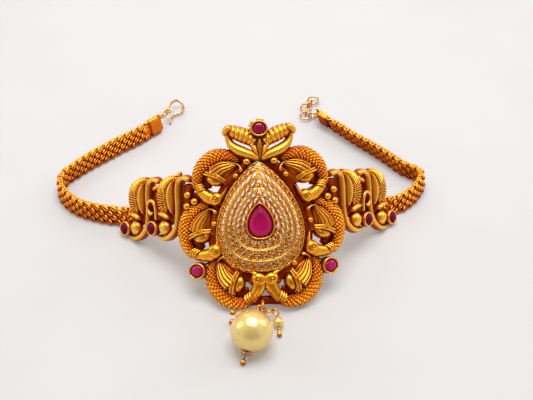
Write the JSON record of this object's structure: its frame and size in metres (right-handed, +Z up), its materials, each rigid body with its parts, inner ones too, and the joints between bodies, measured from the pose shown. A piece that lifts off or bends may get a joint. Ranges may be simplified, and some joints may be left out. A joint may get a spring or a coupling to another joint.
{
  "type": "armlet",
  "caption": "Open ceremonial armlet: a curved gold plaque of peacocks round a pierced dome with a pear ruby, paisley wings, woven chain bands, hook, rings and pearl drops.",
  "frame": {"origin": "middle of the whole armlet's footprint, on the surface it lies on", "axes": "+Z up, the plaque faces -Y and leans back, the free ends of the band lie towards +Y"},
  "size_m": [0.1228, 0.125, 0.045],
  "materials": {
    "antique_gold": "antique matte gilt with dark recesses",
    "chain_gold": "satin",
    "pale_gold": "polished",
    "ruby": "polished cut stone",
    "wine_ruby": "polished cut stone",
    "pearl": "nacre",
    "clear_bead": "polished"
  },
  "bodies": {
    "root": {"peacock_frame": "antique_gold", "filigree_dome": "antique_gold", "pear_ruby": "ruby", "crest_ruby": "ruby", "wing_right": "antique_gold", "side_ruby_right": "ruby", "wing_ruby_right_1": "wine_ruby", "wing_ruby_right_2": "wine_ruby", "wing_left": "antique_gold", "side_ruby_left": "ruby", "wing_ruby_left_1": "wine_ruby", "wing_ruby_left_2": "wine_ruby", "chain_left": "chain_gold", "chain_right": "chain_gold", "end_cap_left": "chain_gold", "end_cap_right": "chain_gold", "hook": "pale_gold", "hook_link": "chain_gold", "extender_ring_1": "pale_gold", "extender_ring_2": "pale_gold", "extender_ring_3": "pale_gold", "extender_link_1": "pale_gold", "extender_link_2": "chain_gold", "extender_link_3": "chain_gold", "jump_ring_1": "antique_gold", "jump_ring_2": "antique_gold", "large_pearl": "pearl", "large_pin": "antique_gold", "pearl_disc": "antique_gold", "stopper_bead": "clear_bead", "small_pearl_1": "pearl", "small_pin_1": "antique_gold", "small_pearl_2": "pearl", "small_pin_2": "antique_gold", "small_pearl_3": "pearl", "small_pin_3": "antique_gold"}
  },
  "joints": []
}
